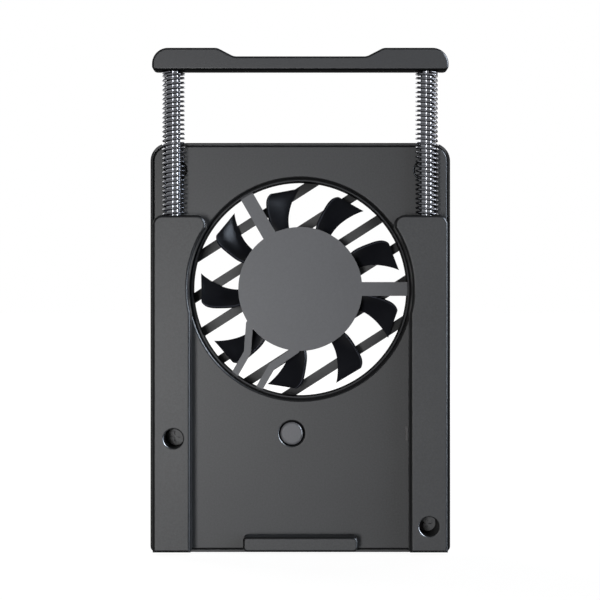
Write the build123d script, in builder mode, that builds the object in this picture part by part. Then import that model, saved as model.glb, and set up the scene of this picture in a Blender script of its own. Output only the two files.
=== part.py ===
from build123d import *
import math
import os

os.makedirs("parts", exist_ok=True)

# The fan stands on its lower end: X across, Z up, and -Y is the side that faces the camera body.

# Case
case_width = 55.0
case_height = 75.1
case_depth = 13.5
shell_depth = 8.0
wall = 1.2
top_corner_radius = 3.3
bottom_corner_radius = 1.1
least_corner_radius = 0.3
front_edge_radius = 0.9

rear_y = -case_depth / 2
front_y = case_depth / 2
front_inner_y = front_y - wall
plate_y = front_y - shell_depth
plate_inner_y = plate_y + wall

# Joint between the two shells: a thin lip of the front cover runs round the rear cover's plate
lip_wall = 0.45
lip_gap = 0.1
lip_setback = 0.1
seat_gap = 0.05
plate_edge_radius = 0.3

plate_inset = lip_wall + lip_gap
lip_end_y = plate_y + lip_setback
shoulder_y = plate_inner_y + seat_gap

# Two rails on the rear cover, wider at their upper ends
rail_width = 6.83
rail_head_width = 9.6
rail_side_inset = 0.8
rail_bottom_z = 0.6
rail_top_drop = 13.5
rail_head_length = 13.3
rail_corner_radius = 1.7
rail_edge_radius = 0.5

rail_outer_x = case_width / 2 - rail_side_inset
rail_inner_x = rail_outer_x - rail_width
rail_head_inner_x = rail_outer_x - rail_head_width
rail_top_z = case_height - rail_top_drop

# Fixed jaw at the lower end
tab_width = 20.8
tab_bottom_z = 0.6
tab_thickness = 2.7
tab_height = 4.6
tab_corner_radius = 0.8
tab_edge_radius = 0.45

# Fan opening and the fan frame that fills it
fan_side_margin = 7.15
fan_top_margin = 6.45
fan_hole_edge_radius = 0.4
shroud_clearance = 0.2
shroud_wall = 0.35
shroud_setback = 0.4
flange_width = 1.45
flange_thickness = 0.9
motor_base_radius = 11.4
motor_base_setback = 0.6
motor_base_thickness = 1.0
seam_angle = 90

fan_hole_radius = case_width / 2 - fan_side_margin
fan_z = case_height - fan_top_margin - fan_hole_radius
bay_top_z = fan_z - fan_hole_radius
shroud_outer_radius = fan_hole_radius - shroud_clearance
shroud_inner_radius = shroud_outer_radius - shroud_wall
shroud_mid_radius = (shroud_outer_radius + shroud_inner_radius) / 2
shroud_rear_y = plate_y + shroud_setback
shroud_front_y = front_inner_y - shroud_clearance
flange_radius = shroud_outer_radius + flange_width
flange_rear_y = shoulder_y
flange_front_y = flange_rear_y + flange_thickness
base_rear_y = plate_y + motor_base_setback
base_front_y = base_rear_y + motor_base_thickness

# Struts that carry the motor base, as angles seen from behind
strut_angles = (0, 120)
strut_width = 2.55
lead_strut_angle = 240
lead_strut_width = 1.3
lead_strut_root = 8.2
lead_strut_shoulder = 10.2
lead_strut_bend = 15.0
lead_root_spread = 4.9
lead_tip_spread = 2.6

# Motor leads, one in a groove on each arm of the double strut
motor_lead_diameter = 0.4
motor_lead_clearance = 0.02
lead_groove_clearance = 0.05
motor_lead_start = 5.2
motor_lead_landing = 2.58
motor_lead_bend_radius = 2.0
motor_lead_drop_radius = 1.45

motor_lead_y = plate_inner_y + motor_lead_clearance + motor_lead_diameter / 2

# Bearing and shaft
shaft_radius = 0.75
bearing_running_gap = 0.03
sleeve_wall = 1.19
tube_wall = 0.4
fit_gap = 0.03
bore_floor = 0.4
tube_cup_gap = 0.35

sleeve_inner_radius = shaft_radius + bearing_running_gap
sleeve_outer_radius = sleeve_inner_radius + sleeve_wall
tube_inner_radius = sleeve_outer_radius + fit_gap
tube_outer_radius = tube_inner_radius + tube_wall
bore_floor_y = base_rear_y + bore_floor
sleeve_rear_y = bore_floor_y + seat_gap

# Stator and its board
motor_board_radius = 8.2
motor_board_thickness = 0.55
board_bore_gap = 0.2
stator_radius = 8.2
stator_yoke_radius = 3.6
stator_shoe_inner_radius = 7.1
stator_arms = 6
stator_arm_width = 1.3
stator_shoe_angle = 46.0
coil_overhang = 0.3
coil_width = 3.0
coil_gap = 0.02
coil_start_radius = 3.9
coil_end_radius = 6.9
coil_board_gap = 0.1

motor_board_rear_y = base_front_y + seat_gap
motor_board_front_y = motor_board_rear_y + motor_board_thickness
coil_rear_y = motor_board_front_y + coil_board_gap
stator_rear_y = coil_rear_y + coil_overhang

# Rotor, running round the stator
rotor_axial_gap = 0.3
air_gap = 0.4
magnet_thickness = 1.15
magnet_cup_gap = 0.2
cup_wall = 0.4
hub_wall = 0.85
hub_boss_radius = 1.8
hub_edge_radius = 0.5
shaft_seat = 0.2

magnet_inner_radius = stator_radius + air_gap
magnet_outer_radius = magnet_inner_radius + magnet_thickness
cup_inner_radius = magnet_outer_radius + fit_gap
cup_outer_radius = cup_inner_radius + cup_wall
hub_inner_radius = cup_outer_radius + fit_gap
hub_outer_radius = hub_inner_radius + hub_wall
hub_rear_y = base_front_y + rotor_axial_gap
hub_front_y = front_inner_y - rotor_axial_gap - seat_gap
cup_rear_y = hub_rear_y + rotor_axial_gap
cup_plate_front_y = hub_front_y - hub_wall
cup_plate_rear_y = cup_plate_front_y - cup_wall
tube_front_y = cup_plate_rear_y - tube_cup_gap
boss_rear_y = tube_front_y + seat_gap
magnet_rear_y = cup_rear_y + 2 * seat_gap
magnet_front_y = cup_plate_rear_y - magnet_cup_gap
coil_front_y = cup_plate_rear_y - rotor_axial_gap
stator_front_y = coil_front_y - coil_overhang
stator_thickness = stator_front_y - stator_rear_y
sleeve_length = tube_front_y - sleeve_rear_y

# Blades: each section is a thin arched strip, wound back from the hub to the tip
blade_count = 9
first_blade_angle = 22.7
blade_thickness = 0.5
blade_camber = 0.3
blade_rear_gap = 0.6
blade_front_gap = 0.85
blade_root_sink = 0.35
blade_tip_gap = 1.45
blade_stations = (0.47, 0.758, 0.928, 1.0)
blade_leads = (2.55, 2.45, 1.95, 1.3)
blade_trails = (-1.1, -2.3, -3.3, -3.85)
blade_root_lead = 1.95
blade_root_trail = -0.45
blade_tip_lift = 0.4

blade_root_radius = hub_outer_radius - blade_root_sink
blade_length = shroud_inner_radius - blade_tip_gap - blade_root_radius

# Air grille in the front cover
grille_inset = 0.25
slat_count = 6
slat_end_share = 0.45
slat_width = 1.7
slat_angle = 32.6
duct_clearance = 0.25
duct_wall = 0.9

grille_radius = shroud_outer_radius - grille_inset
slat_pitch = 2 * grille_radius / (slat_count + slat_end_share)
duct_radius = shroud_outer_radius + duct_clearance
duct_rear_y = flange_front_y + seat_gap

# Screws that close the case, and their recesses
screw_left_inset = 3.75
screw_left_drop = 6.75
screw_right_inset = 3.43
screw_right_z = 5.3
screw_top_inset = 4.0
screw_top_drop = 5.0
screw_head_radius = 1.6
screw_head_height = 1.1
screw_shank_radius = 0.8
screw_recess_radius = 1.75
screw_recess_edge_radius = 0.28
screw_shank_clearance = 0.1
screw_seat_depth = 2.15
screw_seat_wall = 0.6
screw_tip_gap = 0.05
cross_length = 1.9
cross_width = 0.42
cross_depth = 0.6
rear_boss_radius = 2.6
front_boss_radius = 2.1

screw_left_z = bay_top_z - screw_left_drop
screw_right_x = rail_outer_x - screw_right_inset
screw_top_x = rail_outer_x - screw_top_inset
screw_top_z = case_height - screw_top_drop
screw_places = (
    (screw_left_inset - rail_outer_x, screw_left_z),
    (screw_right_x, screw_right_z),
    (-screw_top_x, screw_top_z),
    (screw_top_x, screw_top_z),
)
screw_seat_y = plate_y + screw_seat_depth
rear_boss_end_y = screw_seat_y + screw_seat_wall
front_boss_end_y = rear_boss_end_y + seat_gap
screw_end_y = front_inner_y - screw_tip_gap

# Clamp: a bar on two rods that slide in the rails, pushed out by springs
rod_inset = 3.63
rod_lift = 2.4
rod_radius = 1.35
rod_running_gap = 0.05
clamp_travel = 12.5
closed_gap = 0.3
bar_overhang = 0.2
bar_end_height = 4.1
bar_mid_height = 2.55
bar_thickness = 4.4
bar_shoulder_x = 15.07
bar_waist_x = 12.07
bar_shoulder_radius = 2.0
bar_top_corner_radius = 2.9
bar_bottom_corner_radius = 0.8
bar_edge_radius = 0.45
rod_seat_depth = 2.6
bush_length = 3.0
bush_depth = 4.6
collar_radius = 2.0
collar_length = 2.4
channel_wall_gap = 0.25
channel_end_gap = 2.0

rod_x = rail_outer_x - rod_inset
rod_y = plate_y - rod_lift
bar_width = 2 * (rail_outer_x + bar_overhang)
bar_bottom_z = case_height + closed_gap + clamp_travel
bush_top_z = rail_top_z - bush_depth
bush_bottom_z = bush_top_z - bush_length
collar_top_z = bush_bottom_z - seat_gap
rod_bottom_z = collar_top_z - collar_length
rod_top_z = bar_bottom_z + rod_seat_depth
channel_radius = collar_radius + channel_wall_gap
channel_bottom_z = rod_bottom_z - clamp_travel - channel_end_gap

# Springs round the rods
wire_diameter = 0.42
spring_rod_gap = 0.23
spring_turns = 34.5
spring_end_radius = 0.5
pitch_rounds = 3

spring_radius = rod_radius + spring_rod_gap + wire_diameter / 2

# Main board
board_side_gap = 1.3
board_top_gap = 1.75
board_height = 8.6
board_leg_width = 7.7
board_leg_bottom_z = 3.0
board_thickness = 0.8
board_front_gap = 1.35
board_corner_radius = 0.6
board_boss_gap = 0.3
post_radius = 1.0
post_inset = 1.6
post_spread = 10.0
post_shift = 2.0

board_half_width = case_width / 2 - wall - board_side_gap
board_top_z = bay_top_z - board_top_gap
board_bottom_z = board_top_z - board_height
board_leg_inner_x = board_leg_width - board_half_width
board_front_y = front_inner_y - board_front_gap
board_rear_y = board_front_y - board_thickness
post_places = (
    (board_half_width - post_inset, board_top_z - post_inset),
    (post_shift + post_spread, board_bottom_z + post_inset),
    (post_shift - post_spread, board_bottom_z + post_inset),
    (board_leg_inner_x - post_inset, board_bottom_z - post_inset),
    (post_spread, board_top_z - post_inset),
)
motor_lead_end_z = board_top_z - motor_lead_landing
motor_lead_drop = (motor_lead_end_z - fan_z) / math.sin(math.radians(lead_strut_angle))

# Width, height, thickness and place of each part on the board, from its middle and its lower edge
chips = (
    (3.0, 3.0, 0.9, -7.0, 4.8),
    (4.0, 4.0, 1.0, 4.6, 4.6),
    (3.0, 3.0, 1.4, 10.2, 4.8),
    (2.0, 1.25, 0.8, 14.4, 6.0),
    (2.0, 1.25, 0.8, 14.4, 3.3),
)

# Push button and the switch under it
button_x = -1.55
button_drop = 6.18
button_radius = 2.1
button_hole_gap = 0.25
button_recess = 0.1
button_edge_radius = 0.45
button_hole_edge_radius = 0.25
button_flange_width = 0.65
button_flange_thickness = 0.4
button_flange_gap = 0.1
button_travel = 0.5
stem_radius = 0.75
plunger_radius = 0.9
plunger_gap = 0.1
switch_size = 3.5
switch_height = 1.4
plunger_length = 1.2
plunger_reach = 0.6

button_z = bay_top_z - button_drop
switch_rear_y = board_rear_y - switch_height
button_rear_y = plate_y + button_recess
button_flange_y = plate_inner_y + button_flange_gap
button_hole_radius = button_radius + button_hole_gap
plunger_rear_y = switch_rear_y - plunger_reach
plunger_front_y = plunger_rear_y + plunger_length
switch_bore_end_y = plunger_front_y + button_travel + plunger_gap

# Status light at the foot of the right rail
light_rail_gap = 0.37
light_drop = 6.15
light_width = 0.4
light_length = 2.57
light_gap = 0.03
light_flange_width = 0.5
light_flange_thickness = 0.5
led_height = 0.65
led_length = 1.6
led_width = 0.8
led_light_gap = 0.15

light_x = rail_inner_x - light_rail_gap
light_z = bay_top_z - light_drop
led_rear_y = board_rear_y - led_height

# Charging socket in the left side wall
socket_lift = 0.1
socket_width = 8.94
socket_height = 3.16
socket_length = 7.35
socket_setback = 0.1
socket_skin = 0.3
socket_tongue_width = 6.69
socket_tongue_thickness = 0.7
socket_tongue_length = 4.5
socket_back = 1.0
socket_slot_gap = 0.15

socket_z = (wall + screw_left_z - rear_boss_radius) / 2 + socket_lift
socket_front_y = board_rear_y - seat_gap
socket_y = socket_front_y - socket_height / 2
socket_mouth_x = -case_width / 2 + socket_setback

# Battery leads and their connector on the board
battery_lead_diameter = 0.5
connector_inset = 1.5
connector_width = 3.0
connector_height = 2.0
connector_length = 3.0
connector_lift = 2.9
battery_lead_pitch = 1.2
battery_lead_reach = 4.0
battery_lead_drop = 1.0
battery_lead_bend_ratio = 0.45

connector_x = board_half_width - connector_inset
connector_bottom_z = board_bottom_z + connector_lift
battery_lead_y = board_rear_y - connector_height / 2

# Battery, its foam pad and the rib that locates it
battery_leg_gap = 1.8
battery_floor_gap = 0.6
battery_board_gap = 0.8
battery_thickness = 4.0
battery_edge_radius = 1.0
pad_inset = 1.5
pad_thickness = 0.7
rib_width = 0.5
rib_gap = 0.15
rib_height = 2.5

pad_front_y = front_inner_y - seat_gap
battery_front_y = pad_front_y - pad_thickness - seat_gap
battery_start_x = board_leg_inner_x + battery_leg_gap
battery_end_x = connector_x - battery_lead_reach
battery_length = battery_end_x - battery_start_x
battery_x = (battery_start_x + battery_end_x) / 2
battery_bottom_z = wall + battery_floor_gap
battery_top_z = board_bottom_z - battery_board_gap
battery_width = battery_top_z - battery_bottom_z
battery_z = (battery_bottom_z + battery_top_z) / 2
battery_lead_z = battery_top_z - battery_lead_drop
rib_z = battery_top_z + rib_gap + rib_width / 2


def rear_plane(y):
    """A sketch plane seen from behind: its own x is X and its own y is Z."""
    return Plane.XZ.offset(-y)


def case_outline(y, inset):
    """The case's outline, drawn in by an inset."""
    with BuildSketch(rear_plane(y)) as outline:
        with Locations((0, case_height / 2)):
            Rectangle(case_width - 2 * inset, case_height - 2 * inset)
        top_radius = max(top_corner_radius - inset, least_corner_radius)
        fillet(outline.vertices().group_by(Axis.Y)[-1], radius=top_radius)
        low_radius = max(bottom_corner_radius - inset, least_corner_radius)
        fillet(outline.vertices().group_by(Axis.Y)[0], radius=low_radius)
    return outline.sketch


def ring(y, outer_radius, inner_radius):
    """A flat ring about the fan's axis."""
    with BuildSketch(rear_plane(y)) as face:
        with Locations((0, fan_z)):
            Circle(outer_radius)
            Circle(inner_radius, mode=Mode.SUBTRACT)
    return face.sketch


def disc(y, radius, places=((0, fan_z),)):
    """Discs of one radius at the places given, about the fan's axis unless told otherwise."""
    with BuildSketch(rear_plane(y)) as face:
        with Locations(*[Location((x, z, 0), (0, 0, seam_angle)) for x, z in places]):
            Circle(radius)
    return face.sketch


def strut_point(along, across):
    """A point beside the double strut's centre line, in a rear plane's own coordinates."""
    turn = math.radians(lead_strut_angle)
    x = along * math.cos(turn) - across * math.sin(turn)
    z = fan_z + along * math.sin(turn) + across * math.cos(turn)
    return (x, z)


def lead_corners(side, start, end):
    """The corners that one arm of the double strut and the lead on it follow."""
    return [
        strut_point(start, side * lead_root_spread),
        strut_point(lead_strut_shoulder, side * lead_root_spread),
        strut_point(lead_strut_bend, side * lead_tip_spread),
        strut_point(end, side * lead_tip_spread),
    ]


with BuildPart() as front_cover:
    extrude(case_outline(front_y, 0), amount=front_y - lip_end_y)
    fillet(front_cover.edges().group_by(Axis.Y)[-1], radius=front_edge_radius)
    hollow = front_inner_y - lip_end_y
    extrude(case_outline(front_inner_y, wall), amount=hollow, mode=Mode.SUBTRACT)
    rebate = shoulder_y - lip_end_y
    extrude(case_outline(shoulder_y, lip_wall), amount=rebate, mode=Mode.SUBTRACT)

    # Duct ring that holds the fan frame's flange against the rear cover
    duct_length = front_inner_y - duct_rear_y
    extrude(ring(front_inner_y, duct_radius + duct_wall, duct_radius), amount=duct_length)

    # Screw bosses with their pilot holes
    boss_length = front_inner_y - front_boss_end_y
    extrude(disc(front_inner_y, front_boss_radius, screw_places), amount=boss_length)
    pilot_radius = screw_shank_radius + fit_gap
    pilot_end_y = screw_end_y + seat_gap
    extrude(
        disc(pilot_end_y, pilot_radius, screw_places),
        amount=pilot_end_y - front_boss_end_y,
        mode=Mode.SUBTRACT,
    )

    # Posts under the main board, and the rib beside the battery
    post_length = front_inner_y - board_front_y - seat_gap
    extrude(disc(front_inner_y, post_radius, post_places), amount=post_length)
    with BuildSketch(rear_plane(front_inner_y)):
        with Locations((battery_x, rib_z)):
            Rectangle(battery_length - 2 * pad_inset, rib_width)
    extrude(amount=rib_height)

    # Round air opening, crossed by slanted slats
    extrude(disc(front_y, grille_radius), amount=wall, mode=Mode.SUBTRACT)
    with BuildSketch(rear_plane(front_y)) as slats:
        with Locations(Location((0, fan_z, 0), (0, 0, slat_angle))):
            with GridLocations(1, slat_pitch, 1, slat_count):
                Rectangle(2 * grille_radius + duct_wall, slat_width)
        with Locations((0, fan_z)):
            Circle(grille_radius + duct_wall / 2, mode=Mode.INTERSECT)
    extrude(amount=wall)

    # Slot for the charging socket
    with BuildSketch(Plane.YZ.offset(-case_width / 2)):
        with Locations((socket_y, socket_z)):
            SlotOverall(
                socket_width + 2 * socket_slot_gap,
                socket_height + 2 * socket_slot_gap,
                rotation=90,
            )
    extrude(amount=wall, mode=Mode.SUBTRACT)
front_cover.part.label = "front_cover"
export_step(front_cover.part, "parts/front_cover.step")


def rail_outline(side):
    """One rail's outline, cut back round the fan opening, whose circle starts clear of the rails."""
    with BuildSketch(rear_plane(plate_inner_y)) as rail:
        with Locations((side * rail_inner_x, rail_bottom_z)):
            corner = Align.MIN if side > 0 else Align.MAX
            Rectangle(
                rail_width,
                rail_top_z - rail_bottom_z,
                align=(corner, Align.MIN),
            )
        with Locations((side * rail_head_inner_x, rail_top_z)):
            Rectangle(
                rail_head_width,
                rail_head_length,
                align=(corner, Align.MAX),
            )
        fillet(rail.vertices().group_by(Axis.Y)[-1], radius=rail_corner_radius)
        with Locations(Location((0, fan_z, 0), (0, 0, seam_angle))):
            Circle(fan_hole_radius, mode=Mode.SUBTRACT)
    return rail.sketch


with BuildPart() as rear_cover:
    # Plate with the round fan opening, its rear edges rounded
    extrude(case_outline(plate_inner_y, plate_inset), amount=wall)
    extrude(disc(plate_inner_y, fan_hole_radius), amount=wall, mode=Mode.SUBTRACT)
    rear_edges = rear_cover.edges().group_by(Axis.Y)[0]
    fillet(rear_edges.filter_by(GeomType.CIRCLE).sort_by(SortBy.RADIUS)[-1], radius=fan_hole_edge_radius)
    rim_edges = rear_cover.faces().sort_by(Axis.Y)[0].outer_wire().edges()
    fillet(rim_edges, radius=plate_edge_radius)

    # Rails and lower jaw
    for side in (-1, 1):
        extrude(rail_outline(side), amount=plate_inner_y - rear_y)
    fillet(rear_cover.edges().group_by(Axis.Y)[0], radius=rail_edge_radius)
    with BuildSketch(rear_plane(plate_inner_y)) as tab:
        with Locations((0, tab_bottom_z)):
            Rectangle(tab_width, tab_thickness, align=(Align.CENTER, Align.MIN))
        fillet(tab.vertices(), radius=tab_corner_radius)
    extrude(amount=wall + tab_height)
    tab_y = plate_y - tab_height
    fillet(
        rear_cover.edges().filter_by_position(Axis.Y, tab_y - seat_gap, tab_y + seat_gap),
        radius=tab_edge_radius,
    )

    # Channels for the rods, open at the rails' upper ends
    with BuildSketch(Plane.XY.offset(rail_top_z)):
        with Locations((-rod_x, rod_y), (rod_x, rod_y)):
            Circle(channel_radius)
    extrude(amount=channel_bottom_z - rail_top_z, mode=Mode.SUBTRACT)

    # Screw recesses: bosses inside, a wide hole down to the head's seat and a narrow one through it
    boss_depth = rear_boss_end_y - plate_inner_y
    extrude(disc(rear_boss_end_y, rear_boss_radius, screw_places), amount=boss_depth)
    recess_depth = screw_seat_y - rear_y
    extrude(
        disc(screw_seat_y, screw_recess_radius, screw_places),
        amount=recess_depth,
        mode=Mode.SUBTRACT,
    )
    extrude(
        disc(rear_boss_end_y, screw_shank_radius + screw_shank_clearance, screw_places),
        amount=screw_seat_wall,
        mode=Mode.SUBTRACT,
    )
    recess_rims = (
        rear_cover.edges()
        .filter_by(GeomType.CIRCLE)
        .filter_by(lambda edge: abs(edge.radius - screw_recess_radius) < seat_gap / 2)
        .filter_by(lambda edge: edge.center().Y < plate_y + seat_gap)
    )
    fillet(recess_rims, radius=screw_recess_edge_radius)

    # Holes for the push button and the status light
    button_place = ((button_x, button_z),)
    extrude(
        disc(plate_inner_y, button_hole_radius, button_place),
        amount=wall,
        mode=Mode.SUBTRACT,
    )
    button_rim = (
        rear_cover.edges()
        .filter_by(GeomType.CIRCLE)
        .filter_by(lambda edge: abs(edge.radius - button_hole_radius) < seat_gap / 2)
        .sort_by(Axis.Y)[0]
    )
    fillet(button_rim, radius=button_hole_edge_radius)
    with BuildSketch(rear_plane(plate_inner_y)):
        with Locations((light_x, light_z)):
            Rectangle(light_width + 2 * light_gap, light_length + 2 * light_gap)
    extrude(amount=wall, mode=Mode.SUBTRACT)
rear_cover.part.label = "rear_cover"
export_step(rear_cover.part, "parts/rear_cover.step")

with BuildPart() as fan_frame:
    # Motor base with its single struts and the two arms of the double strut
    with BuildSketch(rear_plane(base_front_y)):
        with Locations((0, fan_z)):
            Circle(motor_base_radius)
        for angle in strut_angles:
            with Locations(Location((0, fan_z, 0), (0, 0, angle))):
                Rectangle(shroud_mid_radius, strut_width, align=(Align.MIN, Align.CENTER))
        for side in (-1, 1):
            with BuildLine():
                Polyline(lead_corners(side, lead_strut_root, shroud_mid_radius))
            trace(line_width=lead_strut_width)
    extrude(amount=motor_base_thickness)

    # Shroud ring and flange
    extrude(
        ring(shroud_front_y, shroud_outer_radius, shroud_inner_radius),
        amount=shroud_front_y - shroud_rear_y,
    )
    extrude(
        ring(flange_front_y, flange_radius, shroud_mid_radius),
        amount=flange_thickness,
    )

    # Bearing tube with a blind bore
    extrude(disc(tube_front_y, tube_outer_radius), amount=tube_front_y - bore_floor_y)
    extrude(
        disc(tube_front_y, tube_inner_radius),
        amount=tube_front_y - bore_floor_y,
        mode=Mode.SUBTRACT,
    )

    # Grooves for the motor leads, out through the shroud and the flange
    groove_front_y = motor_lead_y + motor_lead_diameter / 2 + lead_groove_clearance
    groove_width = motor_lead_diameter + 2 * lead_groove_clearance
    with BuildSketch(rear_plane(groove_front_y)):
        for side in (-1, 1):
            corners = lead_corners(side, motor_lead_start - groove_width, flange_radius + groove_width)
            with BuildLine():
                FilletPolyline(corners, radius=motor_lead_bend_radius)
            trace(line_width=groove_width)
    extrude(amount=groove_width, mode=Mode.SUBTRACT)
fan_frame.part.label = "fan_frame"
export_step(fan_frame.part, "parts/fan_frame.step")

with BuildPart() as bearing_sleeve:
    extrude(ring(tube_front_y, sleeve_outer_radius, sleeve_inner_radius), amount=sleeve_length)
bearing_sleeve.part.label = "bearing_sleeve"
export_step(bearing_sleeve.part, "parts/bearing_sleeve.step")

with BuildPart() as motor_board:
    board_bore_radius = tube_outer_radius + board_bore_gap
    extrude(
        ring(motor_board_front_y, motor_board_radius, board_bore_radius),
        amount=motor_board_thickness,
    )
motor_board.part.label = "motor_board"
export_step(motor_board.part, "parts/motor_board.step")

with BuildPart() as stator_core:
    with BuildSketch(rear_plane(stator_front_y)):
        with Locations((0, fan_z)):
            Circle(stator_radius)
            Circle(stator_shoe_inner_radius, mode=Mode.SUBTRACT)
        # Gaps between the pole shoes
        shoe_gap = stator_radius * math.radians(360 / stator_arms - stator_shoe_angle)
        with Locations((0, fan_z)):
            with PolarLocations(0, stator_arms, start_angle=180 / stator_arms):
                Rectangle(
                    stator_radius + shoe_gap,
                    shoe_gap,
                    align=(Align.MIN, Align.CENTER),
                    mode=Mode.SUBTRACT,
                )
        with Locations((0, fan_z)):
            with PolarLocations(0, stator_arms):
                Rectangle(
                    (stator_shoe_inner_radius + stator_radius) / 2,
                    stator_arm_width,
                    align=(Align.MIN, Align.CENTER),
                )
            Circle(stator_yoke_radius)
            Circle(tube_outer_radius + fit_gap, mode=Mode.SUBTRACT)
    extrude(amount=stator_thickness)
stator_core.part.label = "stator_core"
export_step(stator_core.part, "parts/stator_core.step")

with BuildPart() as stator_windings:
    coil_place = (coil_start_radius + coil_end_radius) / 2
    with BuildSketch(rear_plane(coil_front_y)):
        with Locations((0, fan_z)):
            with PolarLocations(coil_place, stator_arms):
                Rectangle(coil_end_radius - coil_start_radius, coil_width)
    extrude(amount=coil_front_y - coil_rear_y)
    with BuildSketch(rear_plane(stator_front_y + coil_gap)):
        with Locations((0, fan_z)):
            with PolarLocations(coil_place, stator_arms):
                Rectangle(coil_width, stator_arm_width + 2 * coil_gap)
    extrude(amount=stator_thickness + 2 * coil_gap, mode=Mode.SUBTRACT)
stator_windings.part.label = "stator_windings"
export_step(stator_windings.part, "parts/stator_windings.step")

with BuildPart() as rotor_shaft:
    shaft_end_y = hub_front_y - shaft_seat
    extrude(disc(shaft_end_y, shaft_radius), amount=shaft_end_y - sleeve_rear_y)
rotor_shaft.part.label = "rotor_shaft"
export_step(rotor_shaft.part, "parts/rotor_shaft.step")

with BuildPart() as rotor_cup:
    extrude(disc(cup_plate_front_y, cup_outer_radius), amount=cup_plate_front_y - cup_rear_y)
    extrude(
        disc(cup_plate_rear_y, cup_inner_radius),
        amount=cup_plate_rear_y - cup_rear_y,
        mode=Mode.SUBTRACT,
    )
    extrude(
        disc(cup_plate_front_y, hub_boss_radius + fit_gap),
        amount=cup_wall,
        mode=Mode.SUBTRACT,
    )
rotor_cup.part.label = "rotor_cup"
export_step(rotor_cup.part, "parts/rotor_cup.step")

with BuildPart() as ring_magnet:
    extrude(
        ring(magnet_front_y, magnet_outer_radius, magnet_inner_radius),
        amount=magnet_front_y - magnet_rear_y,
    )
ring_magnet.part.label = "ring_magnet"
export_step(ring_magnet.part, "parts/ring_magnet.step")


def blade_section(radius, lead, trail, front_y_here):
    """An arched strip across a blade at one radius, from its leading to its trailing edge."""
    rear_y_here = base_front_y + blade_rear_gap
    chord = Vector(trail - lead, rear_y_here - front_y_here)
    along = chord.normalized()
    out = Vector(-along.Y, along.X)
    start = Vector(lead, -rear_y_here)
    finish = start + chord
    middle = start + chord / 2
    step = out * blade_thickness
    bow = out * blade_camber
    with BuildSketch(Plane(origin=(radius, 0, fan_z), x_dir=(0, 0, 1), z_dir=(1, 0, 0))) as strip:
        with BuildLine():
            ThreePointArc(start, middle + bow, finish)
            Line(finish, finish + step)
            ThreePointArc(finish + step, middle + bow + step, start + step)
            Line(start + step, start)
        make_face()
    return strip.sketch


with BuildPart() as blade:
    blade_front_y = front_inner_y - blade_front_gap
    sections = [blade_section(blade_root_radius, blade_root_lead, blade_root_trail, blade_front_y)]
    for number, (station, lead, trail) in enumerate(zip(blade_stations, blade_leads, blade_trails)):
        lift = blade_tip_lift * number / len(blade_stations)
        radius = blade_root_radius + blade_length * station
        sections.append(blade_section(radius, lead, trail, blade_front_y - lift))
    loft(sections)

with BuildPart() as impeller:
    extrude(disc(hub_front_y, hub_outer_radius), amount=hub_front_y - hub_rear_y)
    fillet(impeller.edges().group_by(Axis.Y)[-1], radius=hub_edge_radius)
    fan_axis = Axis((0, 0, fan_z), (0, -1, 0))
    for number in range(blade_count):
        add(blade.part.rotate(fan_axis, first_blade_angle + number * 360 / blade_count))
    extrude(
        disc(cup_plate_front_y + seat_gap, hub_inner_radius),
        amount=cup_plate_front_y + seat_gap - hub_rear_y,
        mode=Mode.SUBTRACT,
    )
    boss_front_y = cup_plate_front_y + seat_gap
    extrude(disc(boss_front_y, hub_boss_radius), amount=boss_front_y - boss_rear_y)
    extrude(
        disc(shaft_end_y + seat_gap, shaft_radius + fit_gap),
        amount=shaft_end_y + seat_gap - boss_rear_y,
        mode=Mode.SUBTRACT,
    )
impeller.part.label = "impeller"
export_step(impeller.part, "parts/impeller.step")

with BuildPart() as case_screws:
    extrude(disc(screw_seat_y, screw_head_radius, screw_places), amount=screw_head_height)
    extrude(
        disc(screw_end_y, screw_shank_radius, screw_places),
        amount=screw_end_y - screw_seat_y,
    )
    head_rear_y = screw_seat_y - screw_head_height
    with BuildSketch(rear_plane(head_rear_y + cross_depth)):
        with Locations(*screw_places):
            Rectangle(cross_length, cross_width)
            Rectangle(cross_width, cross_length)
    extrude(amount=cross_depth, mode=Mode.SUBTRACT)
case_screws.part.label = "case_screws"
export_step(case_screws.part, "parts/case_screws.step")

with BuildPart() as clamp_bar:
    bar_top_z = bar_bottom_z + bar_end_height
    bar_waist_z = bar_bottom_z + bar_mid_height
    with BuildSketch(rear_plane(rod_y + bar_thickness / 2)) as bar_outline:
        with BuildLine():
            Polyline(
                (-bar_width / 2, bar_bottom_z),
                (bar_width / 2, bar_bottom_z),
                (bar_width / 2, bar_top_z),
                (bar_shoulder_x, bar_top_z),
                (bar_waist_x, bar_waist_z),
                (-bar_waist_x, bar_waist_z),
                (-bar_shoulder_x, bar_top_z),
                (-bar_width / 2, bar_top_z),
                close=True,
            )
        make_face()
        fillet(
            bar_outline.vertices().filter_by(lambda v: abs(v.X) < bar_width / 2 - bar_edge_radius),
            radius=bar_shoulder_radius,
        )
        outer = bar_outline.vertices().filter_by(lambda v: abs(v.X) > bar_width / 2 - bar_edge_radius)
        fillet(outer.group_by(Axis.Y)[-1], radius=bar_top_corner_radius)
        outer = bar_outline.vertices().filter_by(lambda v: abs(v.X) > bar_width / 2 - bar_edge_radius)
        fillet(outer.group_by(Axis.Y)[0], radius=bar_bottom_corner_radius)
    extrude(amount=bar_thickness)
    fillet(clamp_bar.edges().group_by(Axis.Y)[0], radius=bar_edge_radius)
    fillet(clamp_bar.edges().group_by(Axis.Y)[-1], radius=bar_edge_radius)
    with BuildSketch(Plane.XY.offset(bar_bottom_z)):
        with Locations((-rod_x, rod_y), (rod_x, rod_y)):
            Circle(rod_radius + fit_gap)
    extrude(amount=rod_seat_depth + seat_gap, mode=Mode.SUBTRACT)
clamp_bar.part.label = "clamp_bar"
export_step(clamp_bar.part, "parts/clamp_bar.step")


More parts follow.
